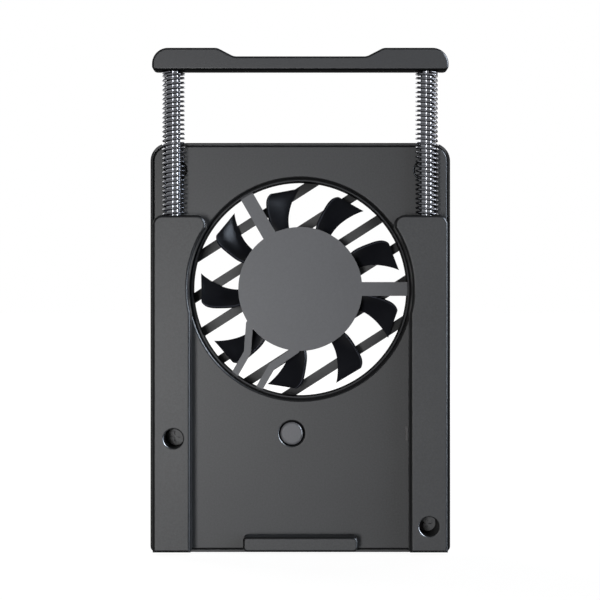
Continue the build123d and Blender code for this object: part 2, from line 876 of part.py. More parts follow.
def helix_point(turn, pitch):
    """Place and direction on a spring's centre line, after a number of turns."""
    angle = 2 * math.pi * turn
    slope = pitch / (2 * math.pi)
    place = Vector(spring_radius * math.cos(angle), spring_radius * math.sin(angle), pitch * turn)
    heading = Vector(-spring_radius * math.sin(angle), spring_radius * math.cos(angle), slope)
    return place, heading.normalized()


def biarc(start, heading, finish, final_heading):
    """Two arcs that leave and arrive along the headings given."""
    span = finish - start
    both = heading + final_heading
    bend = 2 * (1 - heading.dot(final_heading))
    root = math.sqrt(span.dot(both) ** 2 + bend * span.dot(span))
    reach = (root - span.dot(both)) / bend
    knee = start + heading * reach
    far_knee = finish - final_heading * reach
    joint = (knee + far_knee) / 2
    TangentArc(start, joint, tangent=heading)
    TangentArc(joint, finish, tangent=far_knee - knee)


def spring_line(base):
    """A spring's centre line: half-turn biarcs, with straight ends square to their seats."""
    seat_to_seat = bar_bottom_z - bush_top_z
    pitch = (seat_to_seat - 2 * (wire_diameter + spring_end_radius)) / spring_turns
    for _ in range(pitch_rounds):
        rise = math.atan(pitch / (2 * math.pi * spring_radius))
        end_height = wire_diameter + spring_end_radius * math.cos(rise)
        pitch = (seat_to_seat - 2 * end_height) / spring_turns
    lift = Vector(0, 0, end_height) + base
    up = Vector(0, 0, 1)
    straight = up * wire_diameter
    end_back = spring_end_radius * (1 - math.sin(rise))
    end_rise = spring_end_radius * math.cos(rise)
    with BuildLine() as line:
        place, heading = helix_point(0, pitch)
        place = place + lift
        flat = Vector(heading.X, heading.Y, 0).normalized()
        low = place - flat * end_back - up * end_rise
        Line(low - straight, low)
        TangentArc(low, place, tangent=up)
        for half in range(round(2 * spring_turns)):
            next_place, next_heading = helix_point((half + 1) / 2, pitch)
            next_place = next_place + lift
            biarc(place, heading, next_place, next_heading)
            place, heading = next_place, next_heading
        flat = Vector(heading.X, heading.Y, 0).normalized()
        high = place + flat * end_back + up * end_rise
        TangentArc(place, high, tangent=heading)
        Line(high, high + straight)
    return line.line


def least_self_gap(line):
    """The wire's least gap to itself, measured on points along its centre line."""
    points_per_arc = 9
    points_per_turn = 4 * points_per_arc
    points = []
    for edge in line.edges():
        points += [edge.position_at(number / points_per_arc) for number in range(points_per_arc)]
    nearest = math.inf
    for number, point in enumerate(points):
        for other in points[number + points_per_turn // 2:number + 2 * points_per_turn]:
            nearest = min(nearest, (point - other).length)
    return nearest - wire_diameter


for side, name in ((-1, "left"), (1, "right")):
    with BuildPart() as guide_rod:
        with BuildSketch(Plane.XY.offset(rod_bottom_z)):
            with Locations((side * rod_x, rod_y)):
                Circle(rod_radius)
        extrude(amount=rod_top_z - rod_bottom_z)
    guide_rod.part.label = f"guide_rod_{name}"
    export_step(guide_rod.part, f"parts/guide_rod_{name}.step")

    with BuildPart() as rod_collar:
        with BuildSketch(Plane.XY.offset(rod_bottom_z)):
            with Locations((side * rod_x, rod_y)):
                Circle(collar_radius)
                Circle(rod_radius + fit_gap, mode=Mode.SUBTRACT)
        extrude(amount=collar_length)
    rod_collar.part.label = f"rod_collar_{name}"
    export_step(rod_collar.part, f"parts/rod_collar_{name}.step")

    with BuildPart() as guide_bush:
        with BuildSketch(Plane.XY.offset(bush_bottom_z)):
            with Locations((side * rod_x, rod_y)):
                Circle(channel_radius - fit_gap)
                Circle(rod_radius + rod_running_gap, mode=Mode.SUBTRACT)
        extrude(amount=bush_length)
    guide_bush.part.label = f"guide_bush_{name}"
    export_step(guide_bush.part, f"parts/guide_bush_{name}.step")

    spring_path = spring_line(Vector(side * rod_x, rod_y, bush_top_z))
    print(f"clamp_spring_{name}: least gap to itself {least_self_gap(spring_path):.3f} mm")
    with BuildPart() as clamp_spring:
        with BuildSketch(Plane(origin=spring_path @ 0, z_dir=spring_path % 0)):
            Circle(wire_diameter / 2)
        sweep(path=spring_path)
    clamp_spring.part.label = f"clamp_spring_{name}"
    export_step(clamp_spring.part, f"parts/clamp_spring_{name}.step")

with BuildPart() as main_board:
    with BuildSketch(rear_plane(board_front_y)) as board_outline:
        with Locations((-board_half_width, board_bottom_z)):
            Rectangle(
                2 * board_half_width,
                board_top_z - board_bottom_z,
                align=(Align.MIN, Align.MIN),
            )
        with Locations((-board_half_width, board_leg_bottom_z)):
            Rectangle(
                board_leg_inner_x + board_half_width,
                board_top_z - board_leg_bottom_z,
                align=(Align.MIN, Align.MIN),
            )
        fillet(board_outline.vertices(), radius=board_corner_radius)
        with Locations(screw_places[0]):
            Circle(front_boss_radius + board_boss_gap, mode=Mode.SUBTRACT)
    extrude(amount=board_thickness)
main_board.part.label = "main_board"
export_step(main_board.part, "parts/main_board.step")

with BuildPart() as tact_switch:
    with BuildSketch(rear_plane(board_rear_y)):
        with Locations((button_x, button_z)):
            Rectangle(switch_size, switch_size)
    extrude(amount=switch_height)
    extrude(
        disc(switch_bore_end_y, plunger_radius + plunger_gap, button_place),
        amount=switch_bore_end_y - switch_rear_y,
        mode=Mode.SUBTRACT,
    )
tact_switch.part.label = "tact_switch"
export_step(tact_switch.part, "parts/tact_switch.step")

with BuildPart() as switch_plunger:
    extrude(disc(plunger_front_y, plunger_radius, button_place), amount=plunger_length)
switch_plunger.part.label = "switch_plunger"
export_step(switch_plunger.part, "parts/switch_plunger.step")

with BuildPart() as power_button:
    extrude(disc(button_flange_y, button_radius, button_place), amount=button_flange_y - button_rear_y)
    fillet(power_button.edges().group_by(Axis.Y)[0], radius=button_edge_radius)
    flange_end_y = button_flange_y + button_flange_thickness
    extrude(
        disc(flange_end_y, button_radius + button_flange_width, button_place),
        amount=button_flange_thickness,
    )
    extrude(disc(plunger_rear_y, stem_radius, button_place), amount=plunger_rear_y - flange_end_y)
power_button.part.label = "power_button"
export_step(power_button.part, "parts/power_button.step")

with BuildPart() as status_led:
    with BuildSketch(rear_plane(board_rear_y)):
        with Locations((light_x, light_z)):
            Rectangle(led_width, led_length)
    extrude(amount=led_height)
status_led.part.label = "status_led"
export_step(status_led.part, "parts/status_led.step")

with BuildPart() as light_pipe:
    pipe_front_y = led_rear_y - led_light_gap
    with BuildSketch(rear_plane(pipe_front_y)):
        with Locations((light_x, light_z)):
            Rectangle(light_width, light_length)
    extrude(amount=pipe_front_y - plate_y)
    with BuildSketch(rear_plane(shoulder_y + light_flange_thickness)):
        with Locations((light_x, light_z)):
            Rectangle(light_width + 2 * light_flange_width, light_length + 2 * light_flange_width)
    extrude(amount=light_flange_thickness)
light_pipe.part.label = "light_pipe"
export_step(light_pipe.part, "parts/light_pipe.step")

with BuildPart() as usb_socket:
    with BuildSketch(Plane.YZ.offset(socket_mouth_x)):
        with Locations((socket_y, socket_z)):
            SlotOverall(socket_width, socket_height, rotation=90)
    extrude(amount=socket_length)
    with BuildSketch(Plane.YZ.offset(socket_mouth_x)):
        with Locations((socket_y, socket_z)):
            SlotOverall(
                socket_width - 2 * socket_skin,
                socket_height - 2 * socket_skin,
                rotation=90,
            )
    extrude(amount=socket_length - socket_back, mode=Mode.SUBTRACT)
    with BuildSketch(Plane.YZ.offset(socket_mouth_x + socket_length - socket_back)):
        with Locations((socket_y, socket_z)):
            Rectangle(socket_tongue_thickness, socket_tongue_width)
    extrude(amount=-socket_tongue_length)
usb_socket.part.label = "usb_socket"
export_step(usb_socket.part, "parts/usb_socket.step")

with BuildPart() as battery_cell:
    with Locations((battery_x, battery_front_y - battery_thickness / 2, battery_z)):
        Box(battery_length, battery_thickness, battery_width)
    fillet(battery_cell.edges().filter_by(Axis.X), radius=battery_edge_radius)
battery_cell.part.label = "battery_cell"
export_step(battery_cell.part, "parts/battery_cell.step")

with BuildPart() as battery_pad:
    with BuildSketch(rear_plane(pad_front_y)):
        with Locations((battery_x, battery_z)):
            Rectangle(battery_length - 2 * pad_inset, battery_width - 2 * pad_inset)
    extrude(amount=pad_thickness)
battery_pad.part.label = "battery_pad"
export_step(battery_pad.part, "parts/battery_pad.step")

with BuildPart() as battery_connector:
    with BuildSketch(rear_plane(board_rear_y)):
        with Locations((connector_x, connector_bottom_z)):
            Rectangle(connector_width, connector_length, align=(Align.CENTER, Align.MIN))
    extrude(amount=connector_height)
battery_connector.part.label = "battery_connector"
export_step(battery_connector.part, "parts/battery_connector.step")

with BuildPart() as board_chips:
    for width, height, thickness, x, lift in chips:
        with BuildSketch(rear_plane(board_rear_y)):
            with Locations((x, board_bottom_z + lift)):
                Rectangle(width, height)
        extrude(amount=thickness)
board_chips.part.label = "board_chips"
export_step(board_chips.part, "parts/board_chips.step")

for side, name in ((1, "positive"), (-1, "negative")):
    # Motor lead: along its groove, past the flange, then square down to the main board
    corners = lead_corners(side, motor_lead_start, motor_lead_drop)
    route = [(x, motor_lead_y, z) for x, z in corners]
    route.append((corners[-1][0], board_rear_y, corners[-1][1]))
    radii = [motor_lead_bend_radius, motor_lead_bend_radius, motor_lead_drop_radius]
    print(f"fan_wire_{name}: bend radii {radii}")
    with BuildPart() as fan_wire:
        with BuildLine() as wire_line:
            FilletPolyline(route, radius=radii)
        with BuildSketch(Plane(origin=wire_line.line @ 0, z_dir=wire_line.line % 0)):
            Circle(motor_lead_diameter / 2)
        sweep()
    fan_wire.part.label = f"fan_wire_{name}"
    export_step(fan_wire.part, f"parts/fan_wire_{name}.step")

    # Battery lead: out of the cell's end, then up into the connector
    turn_x = connector_x - side * battery_lead_pitch / 2
    exit_z = battery_lead_z + side * battery_lead_pitch / 2
    shorter_run = min(turn_x - battery_end_x, connector_bottom_z - exit_z)
    radius = battery_lead_bend_ratio * shorter_run
    print(f"battery_wire_{name}: bend radius {radius:.2f}")
    with BuildPart() as battery_wire:
        with BuildLine() as wire_line:
            FilletPolyline(
                (battery_end_x, battery_lead_y, exit_z),
                (turn_x, battery_lead_y, exit_z),
                (turn_x, battery_lead_y, connector_bottom_z),
                radius=radius,
            )
        with BuildSketch(Plane(origin=wire_line.line @ 0, z_dir=wire_line.line % 0)):
            Circle(battery_lead_diameter / 2)
        sweep()
    battery_wire.part.label = f"battery_wire_{name}"
    export_step(battery_wire.part, f"parts/battery_wire_{name}.step")
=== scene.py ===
import math

import bpy
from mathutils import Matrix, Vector


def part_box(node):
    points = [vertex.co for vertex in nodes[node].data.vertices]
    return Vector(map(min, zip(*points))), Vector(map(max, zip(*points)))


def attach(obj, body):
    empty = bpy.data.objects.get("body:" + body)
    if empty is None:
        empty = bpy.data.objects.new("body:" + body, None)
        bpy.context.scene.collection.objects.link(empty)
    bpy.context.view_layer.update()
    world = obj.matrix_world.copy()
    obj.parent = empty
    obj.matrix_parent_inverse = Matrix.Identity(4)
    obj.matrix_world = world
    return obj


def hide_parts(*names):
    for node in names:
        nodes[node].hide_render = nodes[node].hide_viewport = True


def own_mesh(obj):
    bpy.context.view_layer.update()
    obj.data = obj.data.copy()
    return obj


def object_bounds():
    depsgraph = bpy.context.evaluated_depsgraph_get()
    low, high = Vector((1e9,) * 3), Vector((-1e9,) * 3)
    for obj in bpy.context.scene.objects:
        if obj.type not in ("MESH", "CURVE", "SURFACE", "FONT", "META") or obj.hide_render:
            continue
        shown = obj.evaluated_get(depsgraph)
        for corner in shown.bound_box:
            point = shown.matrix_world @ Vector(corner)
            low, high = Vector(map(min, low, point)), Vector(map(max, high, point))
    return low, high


MM = 0.001
WHITE = (1.0, 1.0, 1.0, 1.0)

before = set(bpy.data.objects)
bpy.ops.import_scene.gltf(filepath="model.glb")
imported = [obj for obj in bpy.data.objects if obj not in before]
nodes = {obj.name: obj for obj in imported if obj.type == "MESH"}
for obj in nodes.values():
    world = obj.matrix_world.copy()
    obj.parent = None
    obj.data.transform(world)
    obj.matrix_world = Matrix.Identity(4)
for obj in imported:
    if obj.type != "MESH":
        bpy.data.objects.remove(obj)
cad_low, cad_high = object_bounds()


# Node trees

class NodeTree:
    """The nodes of one material or world, added and linked by short calls."""

    def __init__(self, tree):
        self.tree = tree

    def add(self, kind, settings=None, **inputs):
        """A new node, with its settings, and with a value or a link for each input named."""
        node = self.tree.nodes.new(kind)
        for key, value in (settings or {}).items():
            setattr(node, key, value)
        for key, value in inputs.items():
            self.feed(node.inputs[key], value)
        return node

    def feed(self, socket, value):
        """Links another node's output to a socket, or sets the socket's own value."""
        if isinstance(value, bpy.types.NodeSocket):
            self.tree.links.new(value, socket)
        else:
            socket.default_value = value

    def maths(self, operation, first, second=0.0, clamp=False):
        node = self.add("ShaderNodeMath", {"operation": operation, "use_clamp": clamp})
        self.feed(node.inputs[0], first)
        self.feed(node.inputs[1], second)
        return node.outputs[0]

    def vector_maths(self, operation, first, second=None):
        node = self.add("ShaderNodeVectorMath", {"operation": operation})
        self.feed(node.inputs[0], first)
        if second is not None:
            self.feed(node.inputs[1], second)
        return node.outputs

    def parts(self, vector):
        """The X, Y and Z of a vector."""
        return self.add("ShaderNodeSeparateXYZ", Vector=vector).outputs

    def ramp(self, value, low, high, to_low=0.0, to_high=1.0, smooth=False):
        """A value that runs from to_low to to_high as the first one goes from low to high."""
        settings = {"interpolation_type": "SMOOTHSTEP"} if smooth else {}
        node = self.add("ShaderNodeMapRange", settings, Value=value)
        node.inputs["From Min"].default_value = low
        node.inputs["From Max"].default_value = high
        node.inputs["To Min"].default_value = to_low
        node.inputs["To Max"].default_value = to_high
        return node.outputs["Result"]


# How far a surface looks along Y where a rounded edge begins: next to a face, and next to a wall
FACE_END = (0.998, 0.95)
WALL_END = (0.03, 0.12)


class Finish(NodeTree):
    """A procedural material built round one Principled shader, in the object's own coordinates."""

    def __init__(self, name):
        self.material = bpy.data.materials.new(name)
        self.material.use_nodes = True
        super().__init__(self.material.node_tree)
        self.shader = self.tree.nodes["Principled BSDF"]
        coordinates = self.add("ShaderNodeTexCoord").outputs
        self.place = coordinates["Object"]
        self.normal = coordinates["Normal"]

    def set_shader(self, **values):
        """Sets or links the shader's inputs, whose names have underscores for spaces here."""
        for key, value in values.items():
            self.feed(self.shader.inputs[key.replace("_", " ")], value)

    def stretched(self, scale):
        return self.add("ShaderNodeMapping", Vector=self.place, Scale=scale).outputs[0]

    def noise(self, scale, detail, rough, place=None):
        node = self.add(
            "ShaderNodeTexNoise",
            Vector=place or self.place,
            Scale=scale,
            Detail=detail,
            Roughness=rough,
        )
        return node.outputs["Fac"]

    def cells(self, scale):
        return self.add("ShaderNodeTexVoronoi", Vector=self.place, Scale=scale).outputs["Distance"]

    def tint(self, factor, first, second, blend="MIX"):
        node = self.add("ShaderNodeMix", {"data_type": "RGBA", "blend_type": blend})
        sockets = {socket.identifier: socket for socket in node.inputs}
        self.feed(sockets["Factor_Float"], factor)
        for key, value in (("A_Color", first), ("B_Color", second)):
            if isinstance(value, tuple):
                value = (*value, 1.0)
            self.feed(sockets[key], value)
        results = {socket.identifier: socket for socket in node.outputs}
        return results["Result_Color"]

    def bump(self, layers):
        """Stacks bump layers, each a height and its depth in metres."""
        normal = None
        for height, depth in layers:
            node = self.add("ShaderNodeBump", Height=height, Strength=1.0, Distance=depth)
            if normal is not None:
                self.feed(node.inputs["Normal"], normal)
            normal = node.outputs["Normal"]
        self.set_shader(Normal=normal)

    def facing(self):
        """How far the surface looks along Y: -1 to the rear, 1 to the front."""
        return self.parts(self.normal)["Y"]

    def edge_mask(self):
        """1 on the rounded edges between a face across Y and a wall along it, 0 on both."""
        facing = self.maths("ABSOLUTE", self.facing())
        off_face = self.ramp(facing, *FACE_END, smooth=True)
        off_wall = self.ramp(facing, *WALL_END, smooth=True)
        return self.maths("MULTIPLY", off_face, off_wall)

    def from_axis(self, height, across=0.0):
        """Distance from a line along Y, at this height and this far across."""
        moved = self.vector_maths("SUBTRACT", self.place, (across, 0.0, height))["Vector"]
        flat = self.vector_maths("MULTIPLY", moved, (1.0, 0.0, 1.0))["Vector"]
        return self.vector_maths("LENGTH", flat)["Value"]


# Kinds of finish

# Each noise: how many waves to a metre, detail, roughness
DRIFT = (38.0, 3.0, 0.55)
RUB = (900.0, 2.0, 0.5)
METAL_DRIFT = (120.0, 2.0, 0.5)
STAIN = (700.0, 4.0, 0.7)
HAZE = (2500.0, 3.0, 0.6)

# Detail and roughness of the noises whose grain each material sets
PIT_DETAIL = (4.0, 0.62)
LINE_DETAIL = (3.0, 0.6)

# The span of a noise that a tone or a roughness follows
NOISE_SPAN = (0.3, 0.7)
PIT_SPAN = (0.32, 0.68)
RUB_SPAN = (0.7, 1.3)
LINE_SPAN = (0.25, 0.75)
STAIN_SPAN = (0.52, 0.72)

RUB_STRETCH = (1.0, 1.0, 0.12)
ROUGHNESS_SPREAD = 0.05
CELL_GRAIN_SHARE = 0.8
CELL_DEPTH_SHARE = 0.7
METAL_TONES = (0.94, 1.06)
STAIN_SHARE = 0.6
HAZE_SHARE = 0.25
HAZE_ROUGHNESS = (0.28, 0.42)
# A metal's roughness on its smoothest and on its roughest lines, in shares of its own
SMOOTH_LINES = 0.75
ROUGH_LINES = 1.3


def moulded(name, colour, roughness, specular=0.0, grain=3200.0, depth=6e-6, speckle=0.10,
            blotch=0.06, coat=0.0, coat_roughness=0.3, edge_painted_shade=1.0, edge_roughness=None,
            edge_coat=1.0, painted_light=None, coat_shade=None):
    """Spark-eroded or satin moulded plastic: fine pits, soft tonal drift, smoother rounded edges.

    grain is how many pits there are to a metre, and depth how deep they are. painted_light gives one
    more tone of painted light or shade, such as the painted shade on a ring, and coat_shade the same
    for its sheen. The edge values are for the rounded edges alone; edge_painted_shade darkens them
    as painted shade."""
    finish = Finish(name)
    large = finish.ramp(finish.noise(*DRIFT), *NOISE_SPAN, 1.0 - blotch, 1.0 + blotch)
    pits = finish.noise(grain, *PIT_DETAIL)
    speck = finish.ramp(pits, *PIT_SPAN, 1.0 - speckle, 1.0 + speckle)
    tone = finish.maths("MULTIPLY", large, speck)
    # Painted light: one more tone of painted shade or painted highlight on this piece
    if painted_light is not None:
        tone = finish.maths("MULTIPLY", tone, painted_light(finish))
    rub = finish.noise(*RUB, place=finish.stretched(RUB_STRETCH))
    rough = finish.ramp(finish.maths("ADD", pits, rub), *RUB_SPAN,
                        roughness - ROUGHNESS_SPREAD, roughness + ROUGHNESS_SPREAD)
    sheen = coat if coat_shade is None else finish.maths("MULTIPLY", coat, coat_shade(finish))
    if edge_roughness is not None:
        # Painted shade: the rounded edges are darkened and get less coat, and their roughness changes
        mask = finish.edge_mask()
        tone = finish.maths("MULTIPLY", tone, finish.ramp(mask, 0.0, 1.0, 1.0, edge_painted_shade))
        sheen = finish.maths("MULTIPLY", sheen, finish.ramp(mask, 0.0, 1.0, 1.0, edge_coat))
        change = finish.maths("MULTIPLY", mask, finish.maths("SUBTRACT", edge_roughness, rough))
        rough = finish.maths("ADD", rough, change)
    finish.set_shader(
        Base_Color=finish.tint(1.0, colour, tone, "MULTIPLY"),
        Roughness=rough,
        Coat_Weight=sheen,
        Coat_Roughness=coat_roughness,
        Specular_IOR_Level=specular,
    )
    cells = finish.cells(grain * CELL_GRAIN_SHARE)
    finish.bump([(pits, depth), (cells, depth * CELL_DEPTH_SHARE)])
    return finish.material


def metal(name, colour, roughness, brush=(1.0, 1.0, 1.0), grain=2200.0, depth=1.5e-6,
          drift=0.10, dark=None):
    """Metal with fine lines drawn along one axis, and a slightly uneven tone.

    brush is below 1 along the lines. dark is the colour of stains."""
    finish = Finish(name)
    lines = finish.noise(grain, *LINE_DETAIL, place=finish.stretched(brush))
    streaks = finish.ramp(lines, *NOISE_SPAN, 1.0 - drift, 1.0 + drift)
    large = finish.ramp(finish.noise(*METAL_DRIFT), *NOISE_SPAN, *METAL_TONES)
    tinted = finish.tint(1.0, colour, finish.maths("MULTIPLY", streaks, large), "MULTIPLY")
    if dark is not None:
        stain = finish.ramp(finish.noise(*STAIN), *STAIN_SPAN, 0.0, STAIN_SHARE)
        tinted = finish.tint(stain, tinted, dark)
    finish.set_shader(
        Base_Color=tinted,
        Roughness=finish.ramp(lines, *LINE_SPAN, roughness * SMOOTH_LINES, roughness * ROUGH_LINES),
        Metallic=1.0,
    )
    finish.bump([(lines, depth)])
    return finish.material


def frosted(name, colour, haze_colour, depth, specular, transmission, ior):
    """Frosted clear plastic, a little see-through, with fine haze."""
    finish = Finish(name)
    haze = finish.noise(*HAZE)
    hazed = finish.ramp(haze, *NOISE_SPAN, 0.0, HAZE_SHARE)
    finish.set_shader(
        Base_Color=finish.tint(hazed, colour, haze_colour),
        Roughness=finish.ramp(haze, *NOISE_SPAN, *HAZE_ROUGHNESS),
        Transmission_Weight=transmission,
        IOR=ior,
        Specular_IOR_Level=specular,
    )
    finish.bump([(haze, depth)])
    return finish.material


# Shades: painted shade and painted highlights, darker or lighter places on one piece, and rims with
# more sheen

shaft_low, shaft_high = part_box("rotor_shaft")
FAN_HEIGHT = (shaft_low.z + shaft_high.z) / 2

RING_LOOKS_BACK = (-0.7, -0.95)
RING_PAINTED_TONE = 0.10
RING_LINE_PAINTED_TONE = 0.38
# Distances from the fan's axis
RING_START = (19.55 * MM, 19.75 * MM)
RING_LINE_END = (20.05 * MM, 19.95 * MM)


def painted_ring_shade(finish):
    """The shroud ring round the struts gets painted shade, near black, with a lighter line on its
    rear end.
    """
    reach = finish.from_axis(FAN_HEIGHT)
    looks_back = finish.ramp(finish.facing(), *RING_LOOKS_BACK)
    on_ring = finish.ramp(reach, *RING_START, smooth=True)
    on_line = finish.ramp(reach, *RING_LINE_END)
    lit = finish.maths("MULTIPLY", looks_back, on_line)
    ring_painted_tone = finish.ramp(lit, 0.0, 1.0, RING_PAINTED_TONE, RING_LINE_PAINTED_TONE)
    darker = finish.maths("MULTIPLY", on_ring, finish.maths("SUBTRACT", 1.0, ring_painted_tone))
    return finish.maths("SUBTRACT", 1.0, darker)


# Distances from the fan's axis, and the tones of the painted shade at both ends of two of them
TOWARDS_RING = (15.0 * MM, 19.8 * MM)
TOWARDS_RING_TONES = (0.98, 0.45)
BEHIND_HUB = (11.2 * MM, 13.5 * MM)
BEHIND_HUB_TONES = (0.70, 1.0)
GRILLE_END = (20.2 * MM, 20.4 * MM)


def grille_painted_shade(finish):
    """How much painted shade the grille's slats get: more towards the ring and behind the hub."""
    reach = finish.from_axis(FAN_HEIGHT)
    outward = finish.ramp(reach, *TOWARDS_RING, *TOWARDS_RING_TONES, smooth=True)
    inward = finish.ramp(reach, *BEHIND_HUB, *BEHIND_HUB_TONES, smooth=True)
    inside = finish.maths("MULTIPLY", outward, inward)
    over_grille = finish.ramp(reach, *GRILLE_END, 1.0, 0.0)
    return finish.maths("MULTIPLY", over_grille, finish.maths("SUBTRACT", 1.0, inside))


cover_low, cover_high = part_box("front_cover")
COVER_HALF_WIDTH = cover_high.x
COVER_MIDDLE = (cover_low.z + cover_high.z) / 2
COVER_HALF_HEIGHT = (cover_high.z - cover_low.z) / 2

# How much painted shade the side ledges, the end ledges and the top edge get
SIDE_LEDGE_PAINTED_SHADE = 0.66
END_LEDGE_PAINTED_SHADE = 0.12
TOP_EDGE_PAINTED_SHADE = 0.75
# Distances past the cover's outer side, below 0 where they are within it
LEDGE_START = (-0.8 * MM, -0.6 * MM)
TOP_EDGE_START = (-0.24 * MM, -0.16 * MM)


def ledge_painted_shade(finish):
    """How much painted shade the front cover's ledges round the rear cover get, most along the top.
    """
    place = finish.parts(finish.place)
    above_middle = finish.maths("SUBTRACT", place["Z"], COVER_MIDDLE)
    past_side = finish.maths("SUBTRACT", finish.maths("ABSOLUTE", place["X"]), COVER_HALF_WIDTH)
    past_end = finish.maths("SUBTRACT", finish.maths("ABSOLUTE", above_middle), COVER_HALF_HEIGHT)
    past_top = finish.maths("SUBTRACT", above_middle, COVER_HALF_HEIGHT)
    side_ledge = finish.ramp(past_side, *LEDGE_START, 0.0, SIDE_LEDGE_PAINTED_SHADE)
    end_ledge = finish.ramp(past_end, *LEDGE_START, 0.0, END_LEDGE_PAINTED_SHADE)
    top_edge = finish.ramp(past_top, *TOP_EDGE_START, 0.0, TOP_EDGE_PAINTED_SHADE)
    return finish.maths("MAXIMUM", finish.maths("MAXIMUM", side_ledge, end_ledge), top_edge)


COVER_LOOKS_BACK = (-0.2, -0.6)


def cover_painted_shade(finish):
    """Painted shade on the front cover's faces that look back: in the grille and on the ledges."""
    looks_back = finish.ramp(finish.facing(), *COVER_LOOKS_BACK)
    in_grille = finish.maths("MULTIPLY", grille_painted_shade(finish), looks_back)
    on_ledge = finish.maths("MULTIPLY", ledge_painted_shade(finish), looks_back)
    return finish.maths("SUBTRACT", finish.maths("SUBTRACT", 1.0, in_grille), on_ledge)


JAW_LOOKS_DOWN = (-0.5, -0.8)
JAW_PAINTED_TONE = 0.15


def jaw_painted_shade(finish):
    """The bar's underside is darkened with painted shade."""
    upward = finish.parts(finish.normal)["Z"]
    return finish.ramp(upward, *JAW_LOOKS_DOWN, 1.0, JAW_PAINTED_TONE, smooth=True)


BLADE_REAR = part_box("impeller")[0].y
BLADE_EDGE = (BLADE_REAR + 0.35 * MM, BLADE_REAR + 0.50 * MM)
BLADE_EDGE_HIGHLIGHT = 4.2


def blade_edge_painted_highlight(finish):
    """The blades' rear edges get a painted highlight: a lighter tone than their faces."""
    depth = finish.parts(finish.place)["Y"]
    return finish.ramp(depth, *BLADE_EDGE, BLADE_EDGE_HIGHLIGHT, 1.0, smooth=True)


button_low, button_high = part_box("power_button")
BUTTON_MIDDLE = (button_low + button_high) / 2
BUTTON_SIDE = (button_low.y + 0.30 * MM, button_low.y + 0.45 * MM)
BUTTON_SIDE_PAINTED_TONE = 0.05


def button_painted_shade(finish):
    """Only the button's cap is light: its side and the flange under the plate get painted shade, near
    black.
    """
    depth = finish.parts(finish.place)["Y"]
    return finish.ramp(depth, *BUTTON_SIDE, 1.0, BUTTON_SIDE_PAINTED_TONE, smooth=True)


SCREW_RECESS_RADIUS = 1.75 * MM
BUTTON_HOLE_RADIUS = 2.35 * MM

# Each rim in the rear cover: across, height, radius
RIMS = (
    (-22.95 * MM, 21.2 * MM, SCREW_RECESS_RADIUS),
    (23.27 * MM, 5.3 * MM, SCREW_RECESS_RADIUS),
    (BUTTON_MIDDLE.x, BUTTON_MIDDLE.z, BUTTON_HOLE_RADIUS),
)

# Distances past a rim's radius, and how much more it shines
RIM_START = (0.04 * MM, 0.08 * MM)
RIM_END = (0.18 * MM, 0.22 * MM)
RIM_GAIN = 3.5


def rim_sheen(finish):
    """The worn rims of the screw recesses and of the button's hole shine more than the rest."""
    sheen = 1.0
    for across, height, radius in RIMS:
        past_hole = finish.maths("SUBTRACT", finish.from_axis(height, across), radius)
        starts = finish.ramp(past_hole, *RIM_START)
        ends = finish.ramp(past_hole, *RIM_END, RIM_GAIN, 0.0)
        sheen = finish.maths("ADD", sheen, finish.maths("MULTIPLY", starts, ends))
    return sheen


# Materials: each look, and the nodes that wear it

CASE_LOOK = dict(
    colour=(0.0460, 0.0465, 0.0480), roughness=0.58, coat=0.18, coat_roughness=0.35,
    edge_painted_shade=0.25, edge_roughness=0.42, edge_coat=0.45,
)
MOULDED_LOOKS = {
    "case_plastic": dict(CASE_LOOK, coat_shade=rim_sheen),
    "cover_plastic": dict(CASE_LOOK, painted_light=cover_painted_shade, coat_shade=cover_painted_shade),
    "fan_plastic": dict(
        colour=(0.087, 0.088, 0.0945), roughness=0.60, grain=2600.0, depth=2e-6, speckle=0.04,
        blotch=0.03, coat=0.22, coat_roughness=0.34, painted_light=painted_ring_shade, coat_shade=painted_ring_shade,
    ),
    "blade_plastic": dict(
        colour=(0.0092, 0.0097, 0.0122), roughness=0.45, grain=1500.0, depth=2e-7, speckle=0.04,
        blotch=0.05, coat=0.09, coat_roughness=0.29, painted_light=blade_edge_painted_highlight,
    ),
    "bar_metal": dict(
        colour=(0.036, 0.0365, 0.0385), roughness=0.58, grain=4200.0, depth=4e-6, speckle=0.08,
        blotch=0.03, coat=0.24, coat_roughness=0.34, edge_painted_shade=0.22, edge_roughness=0.40,
        edge_coat=0.45, painted_light=jaw_painted_shade, coat_shade=jaw_painted_shade,
    ),
    "button_plastic": dict(
        colour=(0.118, 0.119, 0.127), roughness=0.50, grain=2600.0, depth=1.5e-6, speckle=0.04,
        blotch=0.03, coat=0.15, painted_light=button_painted_shade, coat_shade=button_painted_shade,
    ),
    "screw_steel": dict(
        colour=(0.072, 0.073, 0.075), roughness=0.45, specular=0.05, grain=3400.0, depth=4e-6,
        speckle=0.16, coat=0.04, coat_roughness=0.25,
    ),
    "magnet_ferrite": dict(colour=(0.06, 0.06, 0.065), roughness=0.62, specular=0.4, grain=2400.0),
    "board_green": dict(
        colour=(0.02, 0.10, 0.04), roughness=0.32, specular=0.5, grain=1500.0, depth=2e-6,
    ),
    "chip_black": dict(colour=(0.02, 0.02, 0.022), roughness=0.55, specular=0.4, grain=3000.0),
    "connector_white": dict(
        colour=(0.75, 0.73, 0.68), roughness=0.40, specular=0.5, grain=1500.0, depth=1e-6,
        speckle=0.03, blotch=0.02,
    ),
    "pad_foam": dict(
        colour=(0.05, 0.05, 0.05), roughness=0.85, specular=0.2, grain=1400.0, depth=4e-5,
        speckle=0.3,
    ),
    "wire_red": dict(
        colour=(0.45, 0.03, 0.02), roughness=0.45, specular=0.4, grain=1200.0, depth=1e-6,
    ),
    "wire_black": dict(
        colour=(0.02, 0.02, 0.02), roughness=0.45, specular=0.4, grain=1200.0, depth=1e-6,
    ),
}
